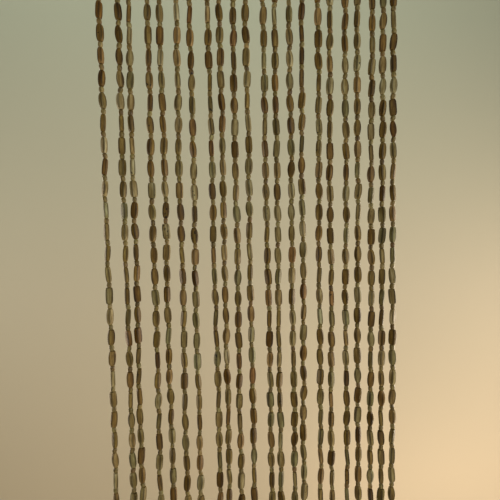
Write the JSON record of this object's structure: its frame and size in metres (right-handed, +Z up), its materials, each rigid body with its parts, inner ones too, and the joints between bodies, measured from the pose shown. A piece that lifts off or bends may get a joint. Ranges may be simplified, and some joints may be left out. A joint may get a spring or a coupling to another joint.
{
  "type": "bead curtain panel",
  "caption": "Hanging curtain panel of vertical strings of flat oval wooden beads and small spacer beads, sewn into a folded cotton heading tape.",
  "frame": {"origin": "middle of the heading tape's top edge, where the panel is fastened", "axes": "+Z up, against the hanging strings; +X across the width; -Y is the side seen in the picture, and +Y is the side that faces the lintel or batten"},
  "size_m": [0.2852, 0.0095, 0.5843],
  "materials": {
    "wood": "stained, satin",
    "cotton": "woven, matt"
  },
  "bodies": {
    "root": {"heading_tape": "cotton", "bead_strings": "wood"}
  },
  "joints": []
}
